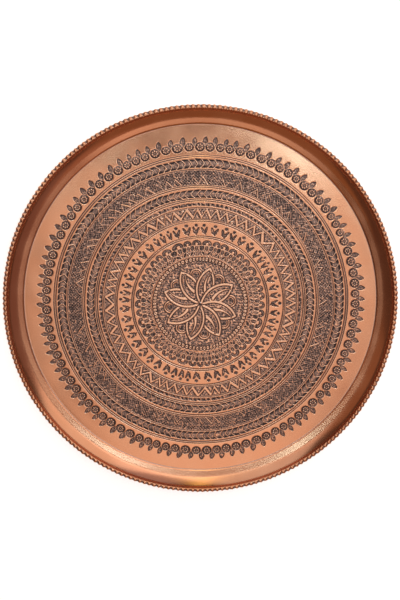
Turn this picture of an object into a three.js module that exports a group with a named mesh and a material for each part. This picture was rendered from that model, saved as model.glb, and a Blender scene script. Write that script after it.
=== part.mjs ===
// A round copper serving tray, in millimetres, +Z up. The origin is the centre of the underside.
// One copper sheet makes the flat floor, a low step round it, a coved wall and an upright lip.
// A copper rope edge is closed over the lip and over a steel core wire that lies beside it.
import * as THREE from "three";

// Driving dimensions.
const TRAY_RADIUS = 175; // outside of the rope edge
const TRAY_HEIGHT = 15; // underside of the floor to the top of the rope edge
const DISH_SHEET = 0.9;
const FLOOR_RADIUS = 157.2; // where the flat floor ends
const STEP_FOOT_RADIUS = 2.5; // the hollow bend out of the floor
const STEP_ANGLE = 32; // degrees above the horizontal
const STEP_RISER = 0.2; // straight part of the step
const STEP_TOP_RADIUS = 3; // the rounded bend onto the ledge
const LEDGE_ANGLE = 13;
const COVE_RADIUS = 10.8;
const ROPE_RADIUS = 2.1; // section of the rope edge
const ROPE_SHEET = 0.5;
const ROPE_FACET_ANGLE = 25; // most that one flat of the rope edge's section turns
const CLEARANCE = 0.2; // kept between neighbouring pieces
const TURNED_SIDES = 72; // flat sides of every turned piece

// Worked out from the above.
const ROPE_CENTRE = new THREE.Vector2(TRAY_RADIUS - ROPE_RADIUS, TRAY_HEIGHT - ROPE_RADIUS);
const BORE_RADIUS = ROPE_RADIUS - ROPE_SHEET;
const LIP_INNER_FACE = ROPE_CENTRE.x - BORE_RADIUS + CLEARANCE;
const LIP_OUTER_FACE = LIP_INNER_FACE + DISH_SHEET;
const LIP_TOP = ROPE_CENTRE.y + CLEARANCE;

const dishCopper = new THREE.MeshStandardMaterial({ color: 0xcf865e, roughness: 0.34, metalness: 1 });
const ropeCopper = new THREE.MeshStandardMaterial({ color: 0xb87452, roughness: 0.4, metalness: 1 });
const wireSteel = new THREE.MeshStandardMaterial({ color: 0x8d8f92, roughness: 0.5, metalness: 1 });

const { degToRad, radToDeg } = THREE.MathUtils;

// The unit vector at an angle in degrees, in the plane of radius and height.
function heading(angle) {
  return new THREE.Vector2(Math.cos(degToRad(angle)), Math.sin(degToRad(angle)));
}

// Points on an arc about a centre, from one angle to another in degrees.
function arc(centre, radius, from, to, steps) {
  return Array.from({ length: steps + 1 }, (_, step) =>
    heading(from + ((to - from) * step) / steps).multiplyScalar(radius).add(centre),
  );
}

// The middle line of a bent sheet, laid from the axis outward as straights and bends that run on
// from one another. It keeps each point with the direction the sheet has there.
class SheetLine {
  constructor(height) {
    this.end = new THREE.Vector2(0, height);
    this.angle = 0;
    this.stations = [{ point: this.end, angle: this.angle }];
  }

  reach(point, angle) {
    this.end = point;
    this.angle = angle;
    this.stations.push({ point, angle });
  }

  straight(length) {
    this.reach(heading(this.angle).multiplyScalar(length).add(this.end), this.angle);
  }

  bend(radius, toAngle, steps) {
    const side = toAngle > this.angle ? -90 : 90;
    const fromAngle = this.angle;
    const centre = heading(fromAngle + side).multiplyScalar(-radius).add(this.end);
    const points = arc(centre, radius, fromAngle + side, toAngle + side, steps);
    for (let step = 1; step <= steps; step += 1) {
      this.reach(points[step], fromAngle + ((toAngle - fromAngle) * step) / steps);
    }
  }

  // The outline of the sheet: its lower face outward, then its upper face back to the axis.
  outline(thickness) {
    const face = (offset) =>
      this.stations.map(({ point, angle }) => heading(angle + 90).multiplyScalar(offset).add(point));
    return [...face(-thickness / 2), ...face(thickness / 2).reverse()];
  }
}

// Turns an outline in radius and height about the Z axis.
function turned(outline) {
  return new THREE.LatheGeometry(outline, TURNED_SIDES).rotateX(Math.PI / 2);
}

// Floor, step, ledge, cove and lip. The cove ends upright under the lip.
function dishGeometry() {
  const line = new SheetLine(DISH_SHEET / 2);
  line.straight(FLOOR_RADIUS);
  line.bend(STEP_FOOT_RADIUS, STEP_ANGLE, 3);
  line.straight(STEP_RISER);
  line.bend(STEP_TOP_RADIUS, LEDGE_ANGLE, 3);
  const coveReach = COVE_RADIUS * (1 - Math.sin(degToRad(LEDGE_ANGLE)));
  const ledgeReach = (LIP_INNER_FACE + LIP_OUTER_FACE) / 2 - coveReach - line.end.x;
  line.straight(ledgeReach / Math.cos(degToRad(LEDGE_ANGLE)));
  line.bend(COVE_RADIUS, 90, 8);
  line.straight(LIP_TOP - line.end.y);
  return turned(line.outline(DISH_SHEET));
}

// A tube slotted from below for the lip. Its inner jaw is pressed flat against the lip.
function ropeEdgeGeometry() {
  const angleAt = (radius, x) => radToDeg(Math.acos((x - ROPE_CENTRE.x) / radius));
  const innerJaw = LIP_INNER_FACE - CLEARANCE;
  const outerJaw = LIP_OUTER_FACE + CLEARANCE;
  const stops = [-angleAt(ROPE_RADIUS, outerJaw), 0, 90, 180, 360 - angleAt(ROPE_RADIUS, innerJaw)];
  const outside = stops.slice(1).flatMap((stop, index) => {
    const steps = Math.ceil((stop - stops[index]) / ROPE_FACET_ANGLE);
    return arc(ROPE_CENTRE, ROPE_RADIUS, stops[index], stop, steps).slice(index === 0 ? 0 : 1);
  });
  const bore = arc(ROPE_CENTRE, BORE_RADIUS, 180, -angleAt(BORE_RADIUS, outerJaw), 10);
  return turned([...outside, ...bore, outside[0]]);
}

// The wire fills the bore beside the lip.
function coreWireGeometry() {
  const inner = LIP_OUTER_FACE + CLEARANCE;
  const outer = ROPE_CENTRE.x + BORE_RADIUS - CLEARANCE;
  const centre = new THREE.Vector2((inner + outer) / 2, ROPE_CENTRE.y);
  return turned(arc(centre, (outer - inner) / 2, 0, 360, 9));
}

function piece(name, geometry, material) {
  const mesh = new THREE.Mesh(geometry, material);
  mesh.name = name;
  return mesh;
}

const tray = new THREE.Group();
tray.add(piece("tray_dish", dishGeometry(), dishCopper));
tray.add(piece("rope_edge", ropeEdgeGeometry(), ropeCopper));
tray.add(piece("rim_core_wire", coreWireGeometry(), wireSteel));

export default tray;
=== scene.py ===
"""The looks of an engraved copper tray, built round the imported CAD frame.

The engraving is real relief: a fine polar grid whose points are lowered where the copper was cut or
punched. Every drawing function works in millimetres and paints on a Relief: how deep each point
lies, how much dark patina it holds and whether the ground is stippled with a punch.
"""

import math

import bpy
import numpy as np
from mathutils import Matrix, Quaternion, Vector


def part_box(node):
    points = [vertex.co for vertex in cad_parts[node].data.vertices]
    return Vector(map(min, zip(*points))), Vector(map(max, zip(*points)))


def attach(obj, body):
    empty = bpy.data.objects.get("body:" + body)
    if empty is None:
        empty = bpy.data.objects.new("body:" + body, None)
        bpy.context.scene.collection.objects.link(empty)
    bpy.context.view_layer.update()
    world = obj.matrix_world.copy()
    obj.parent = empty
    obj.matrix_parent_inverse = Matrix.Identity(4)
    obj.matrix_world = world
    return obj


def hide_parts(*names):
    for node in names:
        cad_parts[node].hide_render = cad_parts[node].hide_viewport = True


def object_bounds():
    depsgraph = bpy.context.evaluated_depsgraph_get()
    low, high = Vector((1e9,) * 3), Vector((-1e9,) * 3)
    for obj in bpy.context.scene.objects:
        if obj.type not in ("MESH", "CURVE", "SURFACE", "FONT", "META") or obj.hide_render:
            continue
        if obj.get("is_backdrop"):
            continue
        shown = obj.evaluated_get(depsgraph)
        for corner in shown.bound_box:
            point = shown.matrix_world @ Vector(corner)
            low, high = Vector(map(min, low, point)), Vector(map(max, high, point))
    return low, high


MM = 0.001
TAU = 2 * math.pi

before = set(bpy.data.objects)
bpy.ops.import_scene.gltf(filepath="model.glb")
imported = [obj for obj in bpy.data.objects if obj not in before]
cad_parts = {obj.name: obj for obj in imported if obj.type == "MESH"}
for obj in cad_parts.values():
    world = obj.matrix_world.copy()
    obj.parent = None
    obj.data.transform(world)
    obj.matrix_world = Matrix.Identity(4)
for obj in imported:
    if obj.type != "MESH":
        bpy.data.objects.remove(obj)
cad_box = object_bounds()
rope_low, rope_high = (np.array(corner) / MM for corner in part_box("rope_edge"))

# The tray's own dimensions in millimetres and degrees. The ledge is 5 degrees steeper than in the
# CAD part, and the cove is flatter with a tight bend to the lip, as the photograph's mirroring asks.
TRAY_RADIUS = float(rope_high[0])
TRAY_HEIGHT = float(rope_high[2])
SHEET = 0.9
FLOOR_RADIUS = 157.2
STEP_FOOT_RADIUS = 2.5
STEP_ANGLE = 32
STEP_RISER = 0.2
STEP_TOP_RADIUS = 3
LEDGE_ANGLE = 18
COVE_RADIUS = 17.5
COVE_ANGLE = 52
LIP_RADIUS = 2.4
LIP_ANGLE = 82
ROPE_RADIUS = 2.1
LIP_MIDDLE = 171.95
LIP_TOP = 13.1

# The grid of the engraved floor.
CELL = 0.4
ROW_BLOCK = 12
EDGE = 0.45
PUNCH_PATINA = 0.95
PUNCH_DEPTH = 0.1

# The engraver's circles wander off the tray's own centre, the inner ones more than the border.
MIDDLE_CENTRE = (-0.35, -1.6)
BORDER_CENTRE = (0.45, -0.6)
MIDDLE_RADIUS = 75
BORDER_RADIUS = 131

# Where the floor is divided into its pieces.
CENTRE_END = 62.5
BANDS_END = 132.9
BORDER_END = 149.6
FLOOR_END = FLOOR_RADIUS - 1.6
PLAIN_CELL = 0.8

random = np.random.default_rng(1907)


def smooth(value):
    """A soft 0 to 1 ramp."""
    value = np.clip(value, 0, 1)
    return value * value * (3 - 2 * value)


def inside(distance, soft=EDGE):
    """1 where a signed distance is negative, 0 where it is positive, with a soft edge."""
    return smooth(0.5 - distance / soft)


def stroke(distance, width, soft=EDGE):
    """A line of the given width along a zero distance."""
    return inside(np.abs(distance) - width / 2, soft)


def lens(u, v, half_length, half_width):
    """Signed distance to a pointed oval that lies along u."""
    radius = (half_length**2 + half_width**2) / (2 * half_width)
    shift = radius - half_width
    return np.hypot(u, np.abs(v) + shift) - radius


def turned(u, v, degrees):
    """The coordinates of a point in axes turned by an angle."""
    c, s = math.cos(math.radians(degrees)), math.sin(math.radians(degrees))
    return u * c + v * s, v * c - u * s


def segment(u, v, start, end):
    """Distance to a straight segment."""
    du, dv = end[0] - start[0], end[1] - start[1]
    along = ((u - start[0]) * du + (v - start[1]) * dv) / (du * du + dv * dv)
    along = np.clip(along, 0, 1)
    return np.hypot(u - start[0] - along * du, v - start[1] - along * dv)


def drift(angle, size, seed, waves=(1, 2, 3, 5, 8, 13)):
    """The slow wander of a hand that spaces things by eye, periodic round the tray."""
    source = np.random.default_rng(seed)
    total = 0 * angle
    for wave in waves:
        ripple = np.sin(wave * angle + source.uniform(0, TAU))
        total = total + ripple * source.uniform(0.4, 1) / wave**0.5
    return size * total / len(waves) ** 0.5


def dimples(x, y, pitch, seed, period=None):
    """Hammer marks: 0 at the middle of each, 1 on the ridges where they meet.

    With a period, the marks repeat after that many of them along x.
    """
    table = np.random.default_rng(seed).uniform(0.15, 0.85, (2, 64, 64))
    gx, gy = x / pitch, y / pitch
    cx, cy = np.floor(gx).astype(int), np.floor(gy).astype(int)
    best = np.full(np.shape(x), 9.0)
    for dx in (-1, 0, 1):
        for dy in (-1, 0, 1):
            column = cx + dx if period is None else (cx + dx) % period
            px = cx + dx + table[0, column % 64, (cy + dy) % 64]
            py = cy + dy + table[1, column % 64, (cy + dy) % 64]
            best = np.minimum(best, (gx - px) ** 2 + (gy - py) ** 2)
    return np.minimum(best * 1.6, 1)


def punch_marks(x, y):
    """Stippling with two punches: above 0 in the pits, below 0 on the ridges and 0 on average."""
    return 0.69 - dimples(x, y, 1.5, seed=301) - dimples(x + 0.4 * y, y, 2.2, seed=302) * 1.2


class Relief:
    """The engraving over a set of points of the floor."""

    def __init__(self, x, y):
        share = np.clip((np.hypot(x, y) - MIDDLE_RADIUS) / (BORDER_RADIUS - MIDDLE_RADIUS), 0, 1)
        self.x = x - MIDDLE_CENTRE[0] - share * (BORDER_CENTRE[0] - MIDDLE_CENTRE[0])
        self.y = y - MIDDLE_CENTRE[1] - share * (BORDER_CENTRE[1] - MIDDLE_CENTRE[1])
        self.radius = np.hypot(self.x, self.y)
        self.angle = np.arctan2(self.y, self.x)
        self.depth = np.zeros_like(x)
        self.tone = np.zeros_like(x)
        self.punch = np.zeros_like(x)

    def paint(self, mask, depth=None, tone=None, punch=None, where=slice(None)):
        for name, value in (("depth", depth), ("tone", tone), ("punch", punch)):
            if value is not None:
                channel = getattr(self, name)
                channel[where] += (value - channel[where]) * mask

    def band(self, inner, outer):
        """Indices of the points in a ring, with a little margin."""
        return np.nonzero((self.radius > inner - 1) & (self.radius < outer + 1))[0]


class Motif:
    """One repeat of a band, given to a drawing function in its own millimetre axes.

    u runs counter-clockwise and v outward from the band's middle line. Each repeat is a little
    off in place, size, angle and strength, as handwork is.
    """

    def __init__(
        self, relief, inner, outer, count, middle, seed, sizes=0.05, turns=2.5, places=0.035, offset=0
    ):
        self.relief = relief
        self.where = relief.band(inner, outer)
        self.count, self.middle = count, middle
        source = np.random.default_rng(seed)
        self.size = 1 + sizes * source.uniform(-1, 1, count)
        self.turn = np.radians(turns) * source.uniform(-1, 1, count)
        self.place = places * source.uniform(-1, 1, count)
        self.strength = source.uniform(0, 1, count)
        angle = relief.angle[self.where]
        self.phase = angle * count / TAU + drift(angle, 0.9, seed=seed) + offset
        self.first = np.floor(self.phase).astype(int)

    def repeats(self, order=(0, 1)):
        """The two repeats on either side of every point, one after the other."""
        radius = self.relief.radius[self.where]
        for step in order:
            index = (self.first + step) % self.count
            off = (self.phase - self.first - step - self.place[index]) * TAU / self.count
            u = radius * np.sin(off)
            v = radius * np.cos(off) - self.middle
            c, s = np.cos(self.turn[index]), np.sin(self.turn[index])
            u, v = (u * c + v * s) / self.size[index], (v * c - u * s) / self.size[index]
            yield u, v, self.strength[index]

    def paint(self, mask, **values):
        self.relief.paint(mask, where=self.where, **values)

    def chased(self, shape, fill, edge=0.55, rim=0.4, punch=0.5):
        """A shape sunk with a dark edge, a punched middle and a paler rim round it, partly rubbed wear
        and partly painted highlight.
        """
        self.paint(inside(shape - rim), depth=0.0, tone=-0.28, punch=0)
        self.paint(inside(shape, 0.4), depth=0.34, tone=1.0, punch=0)
        self.paint(inside(shape + edge, 0.4), depth=0.2, tone=fill, punch=punch)


LINE_WANDER = 0.12
LINE_RIM = 0.8


def ring_line(relief, radius, width, depth, tone, seed):
    """A line scribed all round the tray, with a paler rim on both sides, partly rubbed wear and partly
    painted highlight.
    """
    where = relief.band(radius - 1, radius + 1)
    offset = relief.radius[where] - radius - drift(relief.angle[where], LINE_WANDER, seed)
    pressure = 1 + drift(relief.angle[where], 0.18, waves=(7, 11, 17, 29), seed=seed + 1)
    relief.paint(stroke(offset, width * pressure + LINE_RIM, 0.5), 0, -0.3, 0, where)
    relief.paint(stroke(offset, width * pressure, 0.4), depth, tone, 0, where)


def ground(relief, inner, outer, depth, tone, punch, seed):
    """A ring of cut-away, punched ground."""
    where = relief.band(inner, outer)
    wander = drift(relief.angle[where], 0.1, seed=seed)
    radius = relief.radius[where] + wander
    mask = inside(inner - radius) * inside(radius - outer)
    relief.paint(mask, depth, tone, punch, where)


# The bands, from the centre outward. Radii are in millimetres.

PETAL_TIPS = (31, 75, 120.5, 161, 210, 255, 301, 341)
PETAL_LENGTH = 34.5
PETAL_HALF_WIDTH = 8.0
PETAL_OUTLINE = 1.9
SCALE_CENTRE = 27.3
ROSETTE_END = 43.0
CENTRE_DOT = 0.75


def draw_rosette(relief):
    """Eight swirling petals, each with its clockwise edge tucked under the next one's outline."""
    x, y = relief.x, relief.y
    ground(relief, -5, ROSETTE_END, 0.26, 0.45, 1.0, 11)
    petals = []
    for tip in PETAL_TIPS:
        along, across = turned(x, y, tip)
        shape = lens(along - PETAL_LENGTH / 2, across, PETAL_LENGTH / 2, PETAL_HALF_WIDTH)
        petals.append((along, across, shape))
    for index, tip in enumerate(PETAL_TIPS):
        following = PETAL_TIPS[(index + 1) % len(PETAL_TIPS)]
        between = tip + ((following - tip) % 360) / 2
        draw_scale(relief, *turned(x, y, between))
    for index in reversed(range(len(petals))):
        along, across, shape = petals[index]
        seen = (1 - inside(petals[index - 1][2], 0.3)) * (1 - inside(petals[index - 2][2], 0.3))
        draw_petal(relief, along, across, shape, seen)
    relief.paint(inside(relief.radius - CENTRE_DOT), 0.35, 0.95, 0)


def draw_petal(relief, along, across, shape, seen):
    """One petal where it is seen: an outline, a punched middle, a fine vein and a bright blade."""
    relief.paint(inside(shape - 0.8, 0.6) * seen, 0.36, 0.95, 0)
    relief.paint(inside(shape, 0.4) * seen, 0, -0.25, 0)
    relief.paint(inside(shape + PETAL_OUTLINE, 0.4) * seen, 0.38, 0.95, 0)
    relief.paint(inside(shape + PETAL_OUTLINE + 0.75, 0.5) * seen, 0.24, 0.48, 1.0)
    vein = stroke(shape + PETAL_OUTLINE + 1.45, 0.55, 0.4) * inside(-across) * inside(9 - along, 3)
    relief.paint(vein * seen, 0.1, 0.1, 0)
    reach = (along - 20.6) / 8.9
    spine = -1.7 + 2.3 * (1 - reach**2)
    half_width = 0.22 + 1.35 * np.clip(0.5 - reach / 2, 0, 1)
    blade = inside(np.abs(across - spine) - half_width, 0.4) * inside(np.abs(reach) - 1.05, 0.1)
    rim = inside(np.abs(across - spine) - half_width - 0.65, 0.5) * inside(np.abs(reach) - 1.12, 0.1)
    relief.paint(rim * seen, 0.36, 0.95, 0)
    relief.paint(blade * seen, 0, -0.25, 0)


def draw_scale(relief, along, across):
    """The small double arch that peeps out between two petals."""
    near = np.hypot(along - SCALE_CENTRE, across * 0.96)
    arch = inside(SCALE_CENTRE - 2.2 - along, 0.8)
    for radius, depth, tone in ((6.1, 0.34, 0.95), (5.35, 0, -0.2), (4.1, 0.34, 0.95), (3.4, 0.04, 0.0)):
        relief.paint(inside(near - radius, 0.4) * arch, depth, tone, 0)
    relief.paint(inside(near - 2.6, 0.4) * arch, 0.3, 0.7, 0.8)


PEARL_COUNT = 84
DOT_RADIUS = 37.6
PEARL_RADIUS = 40.9


def draw_pearls(relief):
    """A row of little punched rings, with a row of dots inside it."""
    dots = Motif(relief, 36.5, 39, PEARL_COUNT, DOT_RADIUS, 21)
    for u, v, strength in dots.repeats():
        dots.paint(inside(np.hypot(u, v) - 1.0, 0.4), depth=0.34, tone=0.85, punch=0)
        dots.paint(inside(np.hypot(u, v) - 0.55, 0.4), depth=0.04, tone=0.45 * strength - 0.1, punch=0)
    pearls = Motif(relief, 38.4, 43.4, PEARL_COUNT, PEARL_RADIUS, 22, sizes=0.08)
    for u, v, strength in pearls.repeats():
        shape = (np.hypot(u / 1.15, v / 1.6) - 1) * 1.3
        pearls.paint(inside(shape - 0.6, 0.4), depth=0.36, tone=1.0, punch=0)
        pearls.paint(inside(shape, 0.4), depth=0.0, tone=-0.4, punch=0)
        pit = (np.hypot(u / 0.42, v / 0.75) - 1) * 0.5
        pearls.paint(inside(pit, 0.3), depth=0.22, tone=0.3 + 0.4 * strength, punch=0)


LOOP_COUNT = 42
LOOP_RADIUS = 51.0


def draw_loops(relief):
    """Caps over buds, with oval leaves between them and slanting leaves under them."""
    ground(relief, 43.9, 54, 0.18, 0.42, 0.8, 31)
    band = Motif(relief, 42.5, 59.5, LOOP_COUNT, LOOP_RADIUS, 32, turns=4)
    half_pitch = math.pi * LOOP_RADIUS / LOOP_COUNT
    for u, v, strength in band.repeats():
        fill = 0.62 + 0.2 * strength
        for side in (-1, 1):
            along, across = turned(u * side - 2.4, v + 4.6, 50)
            band.chased(lens(along, across, 2.4, 0.95), fill + 0.1, 0.4)
        band.chased(lens(v - 0.1, u - half_pitch, 3.3, 1.7), fill, 0.5)
        bud = lens(v + 0.2, u, 2.9, 1.2)
        band.chased(bud, 0.62, 0.5, 0.55)
        for spot in (-1.5, 0.2, 1.8):
            band.paint(inside(np.hypot(u, v + 0.2 - spot) - 0.36, 0.3), depth=0.04, tone=0.0, punch=0)
        cap = np.maximum(np.abs(np.hypot(u, (v - 3.6) * 1.04) - 2.5) - 1.2, 2.5 - v)
        band.chased(cap, fill, 0.5, 0.45)
        band.paint(stroke(np.hypot(u, v - 3.6) - 2.5, 0.3, 0.3) * inside(3.6 - v), depth=0.1, tone=0.3)


TULIP_COUNT = 54
TULIP_RADIUS = 66.7


def draw_tulips(relief):
    """Two-leaved tulips that open outward on a short bent stem, with a soft dot over each."""
    band = Motif(relief, 62.4, 73.6, TULIP_COUNT, TULIP_RADIUS, 41, sizes=0.07, turns=8)
    for u, v, strength in band.repeats():
        cup = (np.hypot(u / 2.0, (v + 1.2) / 1.65) - 1) * 1.6
        stem = segment(u, v, (0, -2.2), (-0.8, -3.6)) - 0.4
        shape = np.minimum(cup, stem)
        for side in (-1, 1):
            along, across = turned(v + 1.6, u * side - 0.5, 24)
            shape = np.minimum(shape, lens(along - 2.5, across, 3.0, 0.95))
        notch = 0.95 * (v + 0.2) - 1.5 * np.abs(u)
        band.chased(np.maximum(shape, notch * 0.5), 0.5 + 0.2 * strength, 0.5, 0.4, 0.7)
        dot = np.hypot(u, v - 4.6)
        band.paint(inside(dot - 1.3, 0.6), depth=0.22, tone=0.7 + 0.3 * strength, punch=0.2)


ZIGZAG_COUNT = 58
ZIGZAG_INNER = 77.0
ZIGZAG_OUTER = 85.9
ZIGZAG_MIDDLE = 81.5


def draw_zigzag(relief):
    """A standing zigzag ribbon, broad on one slant, between two rows of punched triangles."""
    inner, outer, count = ZIGZAG_INNER, ZIGZAG_OUTER, ZIGZAG_COUNT
    where = relief.band(inner, outer)
    angle, radius = relief.angle[where], relief.radius[where]
    phase = angle * count / TAU + drift(angle, 1.0, waves=(1, 2, 3, 5, 8, 13, 19), seed=51)
    phase = phase - np.floor(phase)
    reach = outer - inner - 1.7
    slope = 2 * reach * count / (TAU * ZIGZAG_MIDDLE)
    crest = inner + 0.85 + reach * 2 * np.abs(phase - 0.5)
    ribbon = np.abs(radius - crest) / math.hypot(1, slope)
    field = inside(inner - radius) * inside(radius - outer)
    width = 0.66 + 0.44 * smooth((phase - 0.42) * 6) * smooth((1.08 - phase) * 6)
    width = width + drift(angle, 0.16, waves=(11, 17, 23, 31), seed=52)
    strength = 0.44 + drift(angle, 0.12, waves=(9, 14, 22), seed=53)
    relief.paint(field, 0.32, 1.0, 0, where)
    heart = inside(0.6 + width - ribbon, 0.5)
    heart = heart * inside(inner + 0.5 - radius) * inside(radius - outer + 0.5)
    relief.paint(heart, 0.2, strength, 1, where)
    relief.paint(stroke(ribbon - width - 1.5, 0.34, 0.35) * heart, 0.08, 0.22, 0.2, where)
    relief.paint(inside(ribbon - width, 0.4) * field, 0, -0.1, 0, where)


DASH_COUNT = 141
DASH_RADIUS = 89.4


def draw_bead_lines(relief):
    """A channel of dashes between scribed lines."""
    ring_line(relief, 86.6, 0.7, 0.28, 1.0, 61)
    ground(relief, 88.0, 90.8, 0.14, 0.5, 0.8, 62)
    dashes = Motif(relief, 87.6, 91.2, DASH_COUNT, DASH_RADIUS, 63, sizes=0.25, turns=30, places=0.14)
    for u, v, strength in dashes.repeats():
        dashes.paint(inside(segment(u, v, (-0.5, -0.4), (0.5, 0.4)) - 0.7, 0.5), depth=0.3, tone=0.9)
        dashes.paint(inside(np.hypot(u - 1.8, v) - 0.5, 0.4) * strength, depth=0.0, tone=-0.1, punch=0)
    ring_line(relief, 92.4, 0.7, 0.28, 1.0, 64)
    ring_line(relief, 94.0, 0.7, 0.28, 1.0, 65)


def draw_garland(relief, inner, outer, count, way, seed):
    """Pairs of leaves that overlap in one direction round the tray, 1 counter-clockwise."""
    middle, half = (inner + outer) / 2, (outer - inner) / 2
    ground(relief, inner, outer, 0.2, 0.55, 0.8, seed)
    band = Motif(relief, inner, outer, count, middle, seed + 1, sizes=0.05, turns=5, places=0.06)
    for u, v, strength in band.repeats((1, 0) if way > 0 else (0, 1)):
        lead = u * way
        rise = np.abs(v) / half
        back = 2.0 - 2.6 * rise**1.4
        within = inside(np.abs(v) - half, 0.4)
        leaf = inside(lead - back, 0.4) * inside(back - 5.4 - lead, 0.5) * within
        corner = smooth(rise * 1.7 - 0.5) * smooth((back - lead) / 1.6)
        tone = 0.43 + 0.24 * (strength - 0.5) + 0.7 * corner
        band.paint(leaf, depth=0.14 + 0.2 * corner, tone=tone, punch=0.5 - 0.4 * corner)
        shade = stroke(lead - back + 0.75, 0.5, 0.4) * within
        band.paint(shade, depth=0.28, tone=0.95, punch=0)
        rib = stroke(lead - back + 2.0, 0.28, 0.3) * inside(np.abs(rise - 0.45) - 0.3, 0.2)
        band.paint(rib * within, depth=0.1, tone=0.25)
        edge = stroke(lead - back, 0.5 + 0.35 * rise, 0.4) * within
        band.paint(edge, depth=0.0, tone=0.3 * (1 - rise) * (1 - strength) - 0.36, punch=0)


THICKET_COUNT = 85
THICKET_INNER = 106.2
THICKET_OUTER = 119.3
THICKET_MIDDLE = 112.5
HATCH_COUNT = 270


def draw_thicket(relief):
    """The widest band: hatched ground with leaves, and a fine zigzag of standing strokes inside."""
    inner, outer, count = THICKET_INNER, THICKET_OUTER, THICKET_COUNT
    ground(relief, inner, outer, 0.26, 0.97, 0.9, 71)
    where = relief.band(inner, outer)
    angle, radius = relief.angle[where], relief.radius[where]
    field = inside(inner - radius) * inside(radius - outer)
    arc = angle * THICKET_MIDDLE
    for way, seed in ((1, 72), (-1, 73)):
        turn = (arc + way * (radius - inner)) / math.sqrt(2)
        pitch = TAU * THICKET_MIDDLE / math.sqrt(2) / HATCH_COUNT
        wobble = drift(angle, 0.8, waves=(5, 9, 21, 37), seed=seed)
        hatch = np.abs((turn / pitch + wobble) % 1 - 0.5) * pitch
        patch = smooth(0.62 + drift(angle, 0.45, waves=(13, 29, 43, 61), seed=seed + 10))
        relief.paint(stroke(hatch, 0.38, 0.35) * field * patch, 0.03, -0.15, 0.2, where)
    leaves = Motif(relief, inner, outer, count, 115.6, 74, sizes=0.14, turns=12, places=0.08)
    for u, v, strength in leaves.repeats():
        for lift, size in ((1.0, 1.0), (-2.6, 0.8)):
            along, across = turned(u - 0.4, v - lift, -42)
            leaf = lens(along, across, 3.3 * size, 1.35 * size)
            leaves.paint(inside(leaf - 0.4, 0.35) * (1 - strength), depth=0.04, tone=0.0, punch=0.2)
            leaves.paint(inside(leaf), depth=0.3, tone=0.68 + 0.2 * strength, punch=0.5)
            leaves.paint(stroke(across, 0.3, 0.3) * inside(leaf + 0.5), depth=0.12, tone=0.4)
    strokes = Motif(relief, inner, outer, count, 109.6, 75, sizes=0.12, turns=7, places=0.06)
    for u, v, strength in strokes.repeats():
        rise = segment(u, v, (-3.0, -3.0), (1.4, 3.4))
        fall = segment(u, v, (1.4, 3.4), (4.6, -3.0))
        gleam = smooth(1.7 * strength - 0.45)
        strokes.paint(inside(rise - 0.85) * (0.3 + 0.6 * gleam), depth=0.3, tone=0.85, punch=0.2)
        strokes.paint(inside(fall - 0.34, 0.36) * gleam * 0.85, depth=0.04, tone=0.0, punch=0)
        strokes.paint(inside(rise - 0.46, 0.4) * (0.2 + 0.8 * gleam), depth=0.0, tone=-0.34, punch=0)


BORDER_COUNT = 95
FLOWER_RADIUS = 138.7
LEAF_RADIUS = 143.3
FLOWER_BEADS = 7


def draw_border(relief):
    """Round flowers with a dark crescent on the inner side, and a pointed leaf between each two."""
    count = BORDER_COUNT
    leaves = Motif(
        relief, 137, 148.6, count, LEAF_RADIUS, 81, sizes=0.09, turns=7, places=0.05, offset=0.5
    )
    for u, v, strength in leaves.repeats():
        across, along = turned(u, v, 9)
        leaf = lens(along, across, 4.3, 2.0)
        leaves.chased(leaf, 0.36 + 0.2 * strength, 0.6, 0.35, 0.7)
        leaves.paint(stroke(across, 0.35, 0.3) * inside(leaf + 0.7), depth=0.26, tone=0.85, punch=0)
    flowers = Motif(relief, 133.6, 144, count, FLOWER_RADIUS, 81, sizes=0.06, turns=12, places=0.03)
    for u, v, strength in flowers.repeats():
        radius = np.hypot(u, v)
        flowers.paint(inside(radius - 4.35), depth=0.0, tone=-0.36, punch=0)
        flowers.paint(inside(radius - 3.95), depth=0.38, tone=1.0, punch=0)
        disc = np.hypot(u + 0.25, v - 0.75) - 3.3
        flowers.paint(inside(disc), depth=0.14, tone=0.5 + 0.35 * strength, punch=0.6)
        turn = np.arctan2(v, u) * FLOWER_BEADS / TAU + strength
        beads = np.hypot(radius - 2.1, (turn % 1 - 0.5) * TAU / FLOWER_BEADS * radius)
        flowers.paint(stroke(radius - 2.1, 1.6, 0.4), depth=0.24, tone=0.85, punch=0)
        flowers.paint(inside(beads - 0.62, 0.4), depth=0.0, tone=-0.36, punch=0)
        flowers.paint(inside(radius - 0.95, 0.35), depth=0.3, tone=0.95, punch=0)
        flowers.paint(inside(radius - 0.45, 0.35), depth=0.0, tone=-0.1, punch=0)


INNER_GARLAND_COUNT = 118
OUTER_GARLAND_COUNT = 143
LINE_RADII = (60.0, 61.5, 74.8, 76.3, 104.1, 105.8, 119.6, 130.2, 131.8)
LINE_WIDTH = 0.62
LINE_DEPTH = 0.34


def engrave(relief):
    """The whole engraving, from the centre outward, then the scribed lines and the punching."""
    draw_rosette(relief)
    draw_pearls(relief)
    draw_loops(relief)
    draw_tulips(relief)
    draw_zigzag(relief)
    draw_bead_lines(relief)
    draw_garland(relief, 95.2, 101.9, INNER_GARLAND_COUNT, 1, 111)
    draw_thicket(relief)
    draw_garland(relief, 120.9, 128.2, OUTER_GARLAND_COUNT, -1, 141)
    draw_border(relief)
    for index, radius in enumerate(LINE_RADII):
        ring_line(relief, radius, LINE_WIDTH, LINE_DEPTH, 1.0, 200 + 2 * index)
    marks = punch_marks(relief.x, relief.y)
    relief.tone += PUNCH_PATINA * relief.punch * marks
    relief.depth += PUNCH_DEPTH * relief.punch * (marks + 0.6)


# Meshes.


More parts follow.
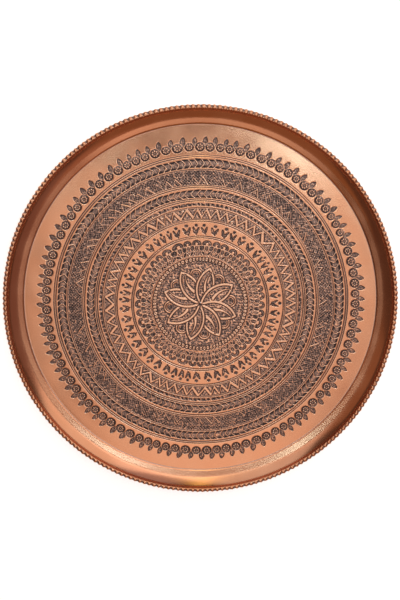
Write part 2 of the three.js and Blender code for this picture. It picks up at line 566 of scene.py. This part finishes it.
def rounds_of_points(inner, outer, cell):
    """Circles of points from an inner to an outer radius, in blocks with equal counts."""
    rows = max(1, round((outer - inner) / cell))
    radii = np.linspace(inner, outer, rows + 1)
    counts = []
    for row in range(rows + 1):
        block = min(rows, (row // ROW_BLOCK + 1) * ROW_BLOCK)
        counts.append(max(12, round(TAU * radii[block] / cell)))
    return radii, counts


def stitched(counts):
    """Triangles and quads that join neighbouring circles of points, each starting at angle 0."""
    starts = np.concatenate([[0], np.cumsum(counts)])
    faces = []
    for row in range(len(counts) - 1):
        n, m = counts[row], counts[row + 1]
        a, b = starts[row], starts[row + 1]
        i, j = np.arange(n), np.arange(m)
        if n == m:
            faces.append(np.stack([a + i, b + i, b + (i + 1) % m, a + (i + 1) % n], 1))
            continue
        apex = np.floor(m * (i + 0.5) / n + 0.5).astype(int)
        faces.append(np.stack([a + i, b + apex % m, a + (i + 1) % n], 1))
        owner = np.searchsorted(apex, j, side="right") % n
        faces.append(np.stack([a + owner, b + j, b + (j + 1) % m], 1))
    return faces


def make_mesh(name, points, faces, attributes=()):
    """A smooth-shaded mesh object from arrays, points in millimetres."""
    mesh = bpy.data.meshes.new(name)
    totals = np.concatenate([np.full(len(block), block.shape[1]) for block in faces])
    corners = np.concatenate([block.ravel() for block in faces])
    mesh.vertices.add(len(points))
    mesh.vertices.foreach_set("co", (np.asarray(points) * MM).astype(np.float32).ravel())
    mesh.loops.add(len(corners))
    mesh.loops.foreach_set("vertex_index", corners.astype(np.int32))
    mesh.polygons.add(len(totals))
    mesh.polygons.foreach_set("loop_start", (np.cumsum(totals) - totals).astype(np.int32))
    mesh.polygons.foreach_set("loop_total", totals.astype(np.int32))
    mesh.update(calc_edges=True)
    mesh.validate()
    mesh.shade_smooth()
    for key, values in attributes:
        layer = mesh.attributes.new(key, "FLOAT", "POINT")
        layer.data.foreach_set("value", np.asarray(values, np.float32))
    piece = bpy.data.objects.new(name, mesh)
    bpy.context.collection.objects.link(piece)
    return piece


FLOOR_MARK_DEPTH = 0.004


def floor_swell(x, y):
    """The slight unevenness of a beaten floor, in millimetres. It fades out at the step."""
    radius = np.hypot(x, y)
    swell = 0.05 * np.sin(x / 31 + 1.3) * np.sin(y / 27 - 0.4) + 0.02 * np.sin(x / 9 + y / 13)
    swell += 0.06 * np.sin(x / 9 + 2 * np.sin(y / 19)) * np.sin(y / 11 + 1.5 * np.sin(x / 23))
    marks = FLOOR_MARK_DEPTH * dimples(x, y, 8.5, seed=5)
    return (swell - marks) * smooth((FLOOR_RADIUS - radius) / 14)


def floor_piece(name, inner, outer, cell):
    """An engraved ring of the floor. The innermost one is closed by a fan round its centre."""
    radii, counts = rounds_of_points(inner, outer, cell)
    radius = np.repeat(radii, counts)
    angle = np.concatenate([np.arange(n) * TAU / n for n in counts])
    x, y = radius * np.cos(angle), radius * np.sin(angle)
    relief = Relief(x, y)
    engrave(relief)
    z = SHEET + floor_swell(x, y) - relief.depth
    faces = stitched(counts)
    if inner == 0:
        first = counts[0]
        x, y, z = x[first - 1 :], y[first - 1 :], z[first - 1 :]
        x[0], y[0] = 0, 0
        faces = [np.maximum(block - first + 1, 0) for block in faces]
        faces[0] = faces[0][faces[0][:, 1] != faces[0][:, 2]]
    return make_mesh(name, np.stack([x, y, z], 1), faces, (("tone", relief.tone[-len(x) :]),))


def sheet_line():
    """The middle line of the dish's sheet outside the floor: radius, height and direction."""
    x, z, heading = FLOOR_RADIUS - 1.6, SHEET / 2, 0.0
    stations = [(x, z, heading)]

    def straight(length, steps):
        nonlocal x, z
        for _ in range(steps):
            x += length / steps * math.cos(heading)
            z += length / steps * math.sin(heading)
            stations.append((x, z, heading))

    def bend(radius, to, steps):
        nonlocal x, z, heading
        turn = (to - heading) / steps
        chord = 2 * radius * math.sin(abs(turn) / 2)
        for _ in range(steps):
            x += chord * math.cos(heading + turn / 2)
            z += chord * math.sin(heading + turn / 2)
            heading += turn
            stations.append((x, z, heading))

    straight(1.6, 2)
    bend(STEP_FOOT_RADIUS, math.radians(STEP_ANGLE), 8)
    straight(STEP_RISER, 1)
    bend(STEP_TOP_RADIUS, math.radians(LEDGE_ANGLE), 8)
    ledge, cove, lip = (math.radians(angle) for angle in (LEDGE_ANGLE, COVE_ANGLE, LIP_ANGLE))
    cove_end = LIP_MIDDLE - LIP_RADIUS * (math.sin(lip) - math.sin(cove))
    cove_start = cove_end - COVE_RADIUS * (math.sin(cove) - math.sin(ledge))
    straight((cove_start - x) / math.cos(ledge), 8)
    bend(COVE_RADIUS, cove, 24)
    bend(LIP_RADIUS, lip, 8)
    straight((LIP_TOP - z) / math.sin(lip), 4)
    return np.array(stations)


def turned_piece(name, profile, count, swell, attributes=()):
    """A mesh turned from a profile of radius and height, its faces looking left of its run."""
    angle = np.arange(count) * TAU / count
    normal_r, normal_z, amount = swell(angle)
    radius = profile[:, 0][:, None] + normal_r * amount
    height = profile[:, 1][:, None] + normal_z * amount
    points = np.stack([radius * np.cos(angle), radius * np.sin(angle), height], 2).reshape(-1, 3)
    return make_mesh(name, points, stitched([count] * len(profile)), attributes)


def profile_normals(profile):
    """Unit normals on the left of a profile's run."""
    run = np.gradient(profile, axis=0)
    run /= np.hypot(run[:, 0], run[:, 1])[:, None]
    return -run[:, 1], run[:, 0]


# The radius at which the hammer marks of a turned piece are round. They are stretched elsewhere.
MARKED_RADIUS = 165


def hammered(profile, depth, pitch, seed, fade):
    """A swell that sinks hammer marks into a turned profile, as deep as the fade lets them be."""
    steps = np.hypot(*np.diff(profile, axis=0).T)
    run = np.concatenate([[0], np.cumsum(steps)])
    normal_r, normal_z = profile_normals(profile)

    def swell(angle):
        period = round(TAU * MARKED_RADIUS / pitch)
        across = angle / TAU * period * pitch
        marks = 1 - dimples(*np.meshgrid(across, run), pitch, seed, period)
        marks = marks * fade[:, None]
        return normal_r[:, None], normal_z[:, None], -depth * marks

    return swell


WALL_COLUMNS = 900
# A thin line of painted shade in the corner at the foot of the step.
CORNER_SHADE = 0.3
CORNER_MIDDLE = FLOOR_RADIUS + 0.5
CORNER_REACH = 0.5
WALL_MARK_DEPTH = 0.003
BACK_MARK_DEPTH = 0.05
BACK_MARKS_END = 172
# The rings of the flat underside, which leave a pinhole at the centre.
BASE_CELL = 2.5
BASE_HOLE = 0.4


def wall_pieces():
    """The inner face from the floor's edge to the lip, and the back from the lip to the centre."""
    line = sheet_line()
    off = np.stack([-np.sin(line[:, 2]), np.cos(line[:, 2])], 1) * SHEET / 2
    face = line[:, :2] + off
    back = (line[:, :2] - off)[::-1]
    fade = smooth((face[:, 0] - FLOOR_RADIUS - 3) / 4)
    # Painted shade: the tone darkens a thin ring in the crease at the foot of the step.
    crease_shade = CORNER_SHADE * np.exp(-(((face[:, 0] - CORNER_MIDDLE) / CORNER_REACH) ** 2))
    tones = (("tone", np.repeat(crease_shade, WALL_COLUMNS)),)
    marks = hammered(face, WALL_MARK_DEPTH, 9, 7, fade)
    wall = turned_piece("dish_wall", face, WALL_COLUMNS, marks, tones)
    inner_radii = np.arange(back[-1, 0] - BASE_CELL, 0, -BASE_CELL)
    base_radii = np.append(inner_radii, BASE_HOLE)
    base = np.stack([base_radii, np.full(len(base_radii), back[-1, 1])], 1)
    under = np.concatenate([face[-1:], back, base])
    lift = smooth((under[:, 0] - 20) / 40) * smooth((BACK_MARKS_END - under[:, 0]) / 4)
    outer = turned_piece("dish_back", under, WALL_COLUMNS, hammered(under, BACK_MARK_DEPTH, 10, 9, lift))
    return wall, outer


ROPE_LUMPS = 240
ROPE_COLUMNS = 12
ROPE_SECTION = 28
ROPE_CUT = 0.95
ROPE_SQUARENESS = 3  # 2 would make its section a circle
# Degrees round the rope's section, from straight outward and up over its top.
SECTION_START = -124
CUT_END = 170
CUT_SLOPE = 115


def rope_piece():
    """The rope edge: V cuts that are widest on the outside and die out on the inner side."""
    count = ROPE_LUMPS * ROPE_COLUMNS
    column = np.arange(count)
    angle = column * TAU / count
    spin = np.linspace(SECTION_START, SECTION_START + 360, ROPE_SECTION, endpoint=False)
    phase = (column / ROPE_COLUMNS + drift(angle, 0.16, seed=91)) % 1
    index = (column // ROPE_COLUMNS) % ROPE_LUMPS
    depth = ROPE_CUT * (1 + 0.22 * random.uniform(-1, 1, ROPE_LUMPS)[index])
    across = np.abs(phase - 0.5) * 2
    side = np.radians(spin)[:, None]
    lean = np.degrees(side)
    width = np.clip((CUT_END - lean) / CUT_SLOPE, 0, 1)
    cut = np.clip(1 - (1 - across) / np.maximum(width, 0.05), 0, 1)
    fade = smooth((152 - lean) / 60) * smooth((lean + 95) / 45)
    sunk = depth * cut * fade
    square = np.abs(np.cos(side)) ** ROPE_SQUARENESS + np.abs(np.sin(side)) ** ROPE_SQUARENESS
    section = (ROPE_RADIUS - 0.02) * square ** (-1 / ROPE_SQUARENESS) - sunk
    centre_r, centre_z = TRAY_RADIUS - ROPE_RADIUS, TRAY_HEIGHT - ROPE_RADIUS
    radius = centre_r + section * np.cos(side)
    height = centre_z + section * np.sin(side)
    points = np.stack([radius * np.cos(angle), radius * np.sin(angle), height], 2).reshape(-1, 3)
    faces = stitched([count] * ROPE_SECTION)
    last, i = (ROPE_SECTION - 1) * count, np.arange(count)
    faces.append(np.stack([last + i, i, (i + 1) % count, last + (i + 1) % count], 1))
    # The cuts hold patina, and their dark brown is partly painted shade for the dim room the notches
    # mirror.
    patina = smooth(1.7 * cut * fade - 0.5) * 0.62
    # Painted highlight: the uncut top and inner side of each lump are made paler copper.
    tone = patina - 0.4 * smooth((lean - 20) / 40) * smooth(1 - cut * 6)
    # Painted shade: the rope's inner underside, where it meets the wall, goes to black.
    tone = np.maximum(tone, smooth((lean - 165) / 40) + 0 * angle)
    piece = make_mesh("rope_edge_metal", points, faces, (("tone", tone.ravel()),))
    piece.data.flip_normals()
    return piece


# Materials.


class Nodes:
    """A little shorthand for building a node tree."""

    def __init__(self, name):
        self.material = bpy.data.materials.new(name)
        self.material.use_nodes = True
        self.tree = self.material.node_tree
        self.shader = self.tree.nodes["Principled BSDF"]

    def add(self, kind, inputs=None, **settings):
        node = self.tree.nodes.new(kind)
        for key, value in settings.items():
            setattr(node, key, value)
        for key, value in (inputs or {}).items():
            self.set(node.inputs[key], value)
        return node

    def set(self, socket, value):
        if isinstance(value, bpy.types.NodeSocket):
            self.tree.links.new(value, socket)
        else:
            socket.default_value = value

    def math(self, operation, *values):
        node = self.add("ShaderNodeMath", operation=operation)
        for socket, value in zip(node.inputs, values):
            self.set(socket, value)
        return node.outputs[0]

    def ramp(self, value, low, high, to_low=0.0, to_high=1.0, linear=False):
        inputs = {"Value": value, "From Min": low, "From Max": high, "To Min": to_low, "To Max": to_high}
        kind = "LINEAR" if linear else "SMOOTHSTEP"
        return self.add("ShaderNodeMapRange", inputs, interpolation_type=kind).outputs["Result"]

    def mix(self, factor, first, second):
        node = self.add("ShaderNodeMix", data_type="RGBA")
        self.set(node.inputs["Factor"], factor)
        self.set(node.inputs[6], first)
        self.set(node.inputs[7], second)
        return node.outputs[2]

    def noise(self, scale, detail=3.0, vector=None, roughness=0.55):
        inputs = {"Scale": scale, "Detail": detail, "Roughness": roughness}
        inputs["Vector"] = self.place if vector is None else vector
        return self.add("ShaderNodeTexNoise", inputs).outputs[0]

    @property
    def place(self):
        return self.add("ShaderNodeTexCoord").outputs["Object"]

    def attribute(self, name):
        return self.add("ShaderNodeAttribute", attribute_name=name).outputs["Fac"]


COPPER = (0.84, 0.40, 0.235, 1)
COPPER_WARM = (0.79, 0.355, 0.20, 1)
COPPER_PALE = (0.90, 0.50, 0.33, 1)
# What the copper turns to as its tone rises: paler copper (rubbed wear and painted highlight), then
# patina that thickens to black (in places painted shade).
TONE_LOW, TONE_HIGH = -0.4, 1.1
PATINA_WEAR_AND_PAINTED_LIGHT_COLOURS = (
    (-0.4, (0.97, 0.62, 0.44, 1)),
    (0.0, (0.84, 0.40, 0.235, 1)),
    (0.25, (0.61, 0.33, 0.235, 1)),
    (0.5, (0.40, 0.25, 0.205, 1)),
    (0.75, (0.19, 0.118, 0.102, 1)),
    (1.0, (0.04, 0.028, 0.03, 1)),
)


# One turn round the tray counts as a circle of this radius in metres, which stretches the marks.
MARK_STRETCH = 0.012


def turning_marks(nodes):
    """Fine marks that run round the tray, as polishing on a wheel leaves them."""
    place = nodes.add("ShaderNodeSeparateXYZ", {0: nodes.place})
    x, y, z = place.outputs[0], place.outputs[1], place.outputs[2]
    squares = nodes.math("ADD", nodes.math("POWER", x, 2.0), nodes.math("POWER", y, 2.0))
    flat = nodes.math("SQRT", squares)
    angle = nodes.math("ARCTAN2", y, x)
    run = nodes.math("ADD", flat, z)
    wrap = nodes.add("ShaderNodeCombineXYZ")
    nodes.set(wrap.inputs[0], nodes.math("MULTIPLY", nodes.math("COSINE", angle), MARK_STRETCH))
    nodes.set(wrap.inputs[1], nodes.math("MULTIPLY", nodes.math("SINE", angle), MARK_STRETCH))
    nodes.set(wrap.inputs[2], run)
    return nodes.noise(2600.0, 2.0, wrap.outputs[0], 0.7)


def copper_material(name, roughness):
    """Copper whose "tone" attribute makes it paler below 0, partly rubbed wear and partly painted
    highlight, and darker above 0, mostly patina and in places painted shade.
    """
    nodes = Nodes(name)
    shader = nodes.shader
    cloudy = nodes.noise(34.0, 1.5)
    fine = nodes.noise(420.0, 3.0)
    grit = nodes.noise(1500.0, 2.0)
    marks = turning_marks(nodes)
    clean = nodes.mix(nodes.ramp(cloudy, 0.35, 0.7), COPPER_WARM, COPPER)
    clean = nodes.mix(nodes.math("MULTIPLY", nodes.ramp(fine, 0.5, 0.85), 0.2), clean, COPPER_PALE)
    tone = nodes.attribute("tone")
    level = nodes.math("ADD", tone, nodes.math("MULTIPLY", nodes.math("SUBTRACT", grit, 0.5), 0.12))
    place = nodes.ramp(level, TONE_LOW, TONE_HIGH, 0.0, 1.0, linear=True)
    shade = nodes.add("ShaderNodeValToRGB", {"Fac": place})
    stops = shade.color_ramp.elements
    while len(stops) < len(PATINA_WEAR_AND_PAINTED_LIGHT_COLOURS):
        stops.new(0.5)
    for stop, (position, colour) in zip(stops, PATINA_WEAR_AND_PAINTED_LIGHT_COLOURS):
        stop.position = (position - TONE_LOW) / (TONE_HIGH - TONE_LOW)
        stop.color = colour
    patina = nodes.ramp(level, 0.1, 0.6)
    # Where the tone is not 0, its colours replace the clean copper: patina, rubbed wear, painted
    # highlight and painted shade.
    toned = nodes.ramp(nodes.math("ABSOLUTE", tone), 0.02, 0.1)
    nodes.set(shader.inputs["Base Color"], nodes.mix(toned, clean, shade.outputs[0]))
    nodes.set(shader.inputs["Metallic"], nodes.ramp(patina, 0.0, 1.0, 1.0, 0.35))
    cloudiness = nodes.ramp(cloudy, 0.3, 0.75, roughness - 0.015, roughness + 0.035)
    dull = nodes.ramp(patina, 0.0, 1.0, 0.0, 0.3)
    nodes.set(shader.inputs["Roughness"], nodes.math("ADD", cloudiness, dull))
    height = nodes.math("ADD", nodes.math("MULTIPLY", marks, 0.035), nodes.math("MULTIPLY", fine, 0.03))
    height = nodes.math("ADD", height, nodes.math("MULTIPLY", grit, patina))
    bump = nodes.add("ShaderNodeBump", {"Height": height, "Strength": 0.4, "Distance": 0.00002})
    nodes.set(shader.inputs["Normal"], bump.outputs[0])
    shader.inputs["Specular IOR Level"].default_value = 0.2
    shader.inputs["Coat Weight"].default_value = 0.12
    shader.inputs["Coat Roughness"].default_value = 0.15
    return nodes.material


def steel_material():
    """The steel of the core wire, with a little rust."""
    nodes = Nodes("core_steel")
    rust = nodes.ramp(nodes.noise(180.0, 4.0), 0.5, 0.75)
    colour = nodes.mix(rust, (0.33, 0.33, 0.34, 1), (0.17, 0.10, 0.07, 1))
    nodes.set(nodes.shader.inputs["Base Color"], colour)
    nodes.set(nodes.shader.inputs["Metallic"], nodes.ramp(rust, 0.0, 1.0, 1.0, 0.3))
    nodes.set(nodes.shader.inputs["Roughness"], nodes.ramp(rust, 0.0, 1.0, 0.38, 0.75))
    height = nodes.noise(900.0, 3.0)
    bump = nodes.add("ShaderNodeBump", {"Height": height, "Strength": 0.4, "Distance": 0.00003})
    nodes.set(nodes.shader.inputs["Normal"], bump.outputs[0])
    return nodes.material


FLOOR_GLOW = 0.66


def floor_material():
    """The pale studio floor. It glows a little, so that it stays white round the tray."""
    nodes = Nodes("studio_floor")
    haze = nodes.noise(3.0, 2.0)
    colour = nodes.mix(haze, (0.93, 0.93, 0.93, 1), (0.97, 0.97, 0.97, 1))
    nodes.set(nodes.shader.inputs["Base Color"], colour)
    nodes.shader.inputs["Roughness"].default_value = 0.9
    nodes.shader.inputs["Specular IOR Level"].default_value = 0.1
    nodes.shader.inputs["Emission Color"].default_value = (0.96, 0.99, 1, 1)
    nodes.shader.inputs["Emission Strength"].default_value = FLOOR_GLOW
    return nodes.material


# Building the pieces.

dish_copper = copper_material("dish_copper", 0.19)
rope_copper = copper_material("rope_copper", 0.24)

dish_pieces = [
    floor_piece("dish_centre", 0, CENTRE_END, CELL),
    floor_piece("dish_bands", CENTRE_END, BANDS_END, CELL),
    floor_piece("dish_border", BANDS_END, BORDER_END, CELL),
    floor_piece("dish_rim_floor", BORDER_END, FLOOR_END, PLAIN_CELL),
]
dish_pieces.extend(wall_pieces())
for piece in dish_pieces:
    piece.data.materials.append(dish_copper)
    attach(piece, "root")
    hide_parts("tray_dish")

rope = rope_piece()
rope.data.materials.append(rope_copper)
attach(rope, "root")
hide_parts("rope_edge")

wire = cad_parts["rim_core_wire"]
wire_steel = steel_material()
for place in wire.material_slots:
    place.material = wire_steel

# The studio.

FLOOR_SIZE = 8
FLOOR_GAP = 0.0002
bpy.ops.mesh.primitive_plane_add(size=FLOOR_SIZE, location=(0, 0, -FLOOR_GAP))
studio_floor = bpy.context.object
studio_floor.name = "studio_floor"
studio_floor.data.materials.append(floor_material())
studio_floor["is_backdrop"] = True

# The room is dim and warm where the copper mirrors it, and a plain pale wall behind the tray.
ROOM_COLOUR = (1.0, 0.58, 0.42, 1)
ROOM_STRENGTH = 0.1
BACKDROP_COLOUR = (0.9, 0.88, 0.87, 1)
world = bpy.data.worlds.new("studio")
world.use_nodes = True
world_nodes, world_links = world.node_tree.nodes, world.node_tree.links
room = world_nodes["Background"]
room.inputs["Color"].default_value = ROOM_COLOUR
room.inputs["Strength"].default_value = ROOM_STRENGTH
backdrop = world_nodes.new("ShaderNodeBackground")
backdrop.inputs["Color"].default_value = BACKDROP_COLOUR
ray = world_nodes.new("ShaderNodeLightPath")
either = world_nodes.new("ShaderNodeMixShader")
world_links.new(ray.outputs["Is Camera Ray"], either.inputs[0])
world_links.new(room.outputs[0], either.inputs[1])
world_links.new(backdrop.outputs[0], either.inputs[2])
world_links.new(either.outputs[0], world_nodes["World Output"].inputs["Surface"])
bpy.context.scene.world = world


def softbox(name, place, target, width, height, radiance, colour, turn=0.0):
    """A softbox as bright as it looks from the tray."""
    data = bpy.data.lights.new(name, "AREA")
    data.shape, data.size, data.size_y = "RECTANGLE", width, height
    data.energy, data.color = radiance * math.pi * width * height, colour
    light = bpy.data.objects.new(name, data)
    light.location = place
    aim = (Vector(target) - Vector(place)).to_track_quat("-Z", "Y")
    light.rotation_euler = (aim @ Quaternion((0, 0, 1), math.radians(turn))).to_euler()
    bpy.context.collection.objects.link(light)


CEILING = 1.5
WALL_DISTANCE = 1.6


def ceiling_softbox(name, x, y, width, height, radiance, colour, turn=0.0):
    """A level softbox over the tray, its place and size in metres."""
    softbox(name, (x, y, CEILING), (x, y, 0), width, height, radiance, colour, turn)


def wall_softbox(name, azimuth, elevation, spread, rise, radiance, colour):
    """A softbox round the tray, its half width and half height given as angles."""
    a, e = math.radians(azimuth), math.radians(elevation)
    aim = (math.cos(a) * math.cos(e), math.sin(a) * math.cos(e), math.sin(e))
    place = [WALL_DISTANCE * part for part in aim]
    width, height = (2 * WALL_DISTANCE * math.tan(math.radians(half)) for half in (spread, rise))
    softbox(name, place, (0, 0, 0), width, height, radiance, colour)


# The lights stand where the photograph's highlights need them: three overhead, three small ones for
# the gleams, and seven round the tray for what its rim mirrors.
ceiling_softbox("overhead", 0.045, -0.25, 0.94, 0.58, 0.83, (1, 0.97, 0.91))
ceiling_softbox("overhead_back", 0.03, -0.74, 0.6, 0.4, 0.95, (1, 0.93, 0.84))
ceiling_softbox("overhead_front", 0.12, 0.385, 0.86, 0.37, 0.7, (0.98, 1, 0.98))
ceiling_softbox("gleam", 0.315, 0.03, 0.08, 0.26, 9.4, (0.52, 0.84, 1), 40)
ceiling_softbox("gleam_tail", 0.2, 0.21, 0.08, 0.14, 10, (0.5, 0.82, 1), 50)
ceiling_softbox("small_gleam", -0.29, 0.24, 0.11, 0.2, 9, (0.5, 0.85, 1))
wall_softbox("key", 40, 40, 18, 31, 0.85, (1, 0.97, 0.9))
wall_softbox("between", 69, 40, 11, 31, 0.36, (0.9, 0.85, 1))
wall_softbox("lamp", 89, 42, 2.5, 28, 1.4, (1, 0.9, 0.3))
wall_softbox("fill", 113, 40, 18, 31, 0.7, (0.97, 1, 1))
wall_softbox("ember", 267, 29, 30, 33, 0.15, (1, 0.5, 0.22))
wall_softbox("glow_left", 164, 46, 16, 26, 0.17, (1, 0.55, 0.3))
wall_softbox("glow_right", 336, 42, 32, 27, 0.1, (1, 0.62, 0.6))

# The camera looks down from the head of the tray, a little off its axis.

VIEW_TILT = 11.1
VIEW_ROLL = 3.8
VIEW_DISTANCE = 0.888
LENS = 59.4
camera_data = bpy.data.cameras.new("camera")
camera_data.lens, camera_data.sensor_width = LENS, 36
camera_data.clip_start = 0.05
camera = bpy.data.objects.new("camera", camera_data)
bpy.context.collection.objects.link(camera)
bpy.context.scene.camera = camera

tilt, roll = math.radians(VIEW_TILT), math.radians(VIEW_ROLL)
lean = Vector((-math.sin(roll), math.cos(roll), 0))
up = Vector((0, 0, 1))
back = lean * math.sin(tilt) + up * math.cos(tilt)
image_up = lean * math.cos(tilt) - up * math.sin(tilt)
image_right = image_up.cross(back)
# The picture's own right and up are level: the tray leans towards a turned direction.
right = image_right * math.cos(roll) + image_up * -math.sin(roll)
upward = image_right * math.sin(roll) + image_up * math.cos(roll)
AIM = (-0.0005, 0.0023)
centre = Vector((0, 0, SHEET * MM)) + back * VIEW_DISTANCE + right * AIM[0] + upward * AIM[1]
matrix = camera.matrix_world.copy()
for row in range(3):
    matrix[row][0], matrix[row][1] = right[row], upward[row]
    matrix[row][2], matrix[row][3] = back[row], centre[row]
camera.matrix_world = matrix

bpy.context.scene.view_settings.view_transform = "Standard"


def plain(value):
    """Nested vectors as plain lists of numbers."""
    if isinstance(value, (int, float)):
        return float(value)
    return [plain(item) for item in value]


{"cad": plain(cad_box), "visual": plain(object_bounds())}
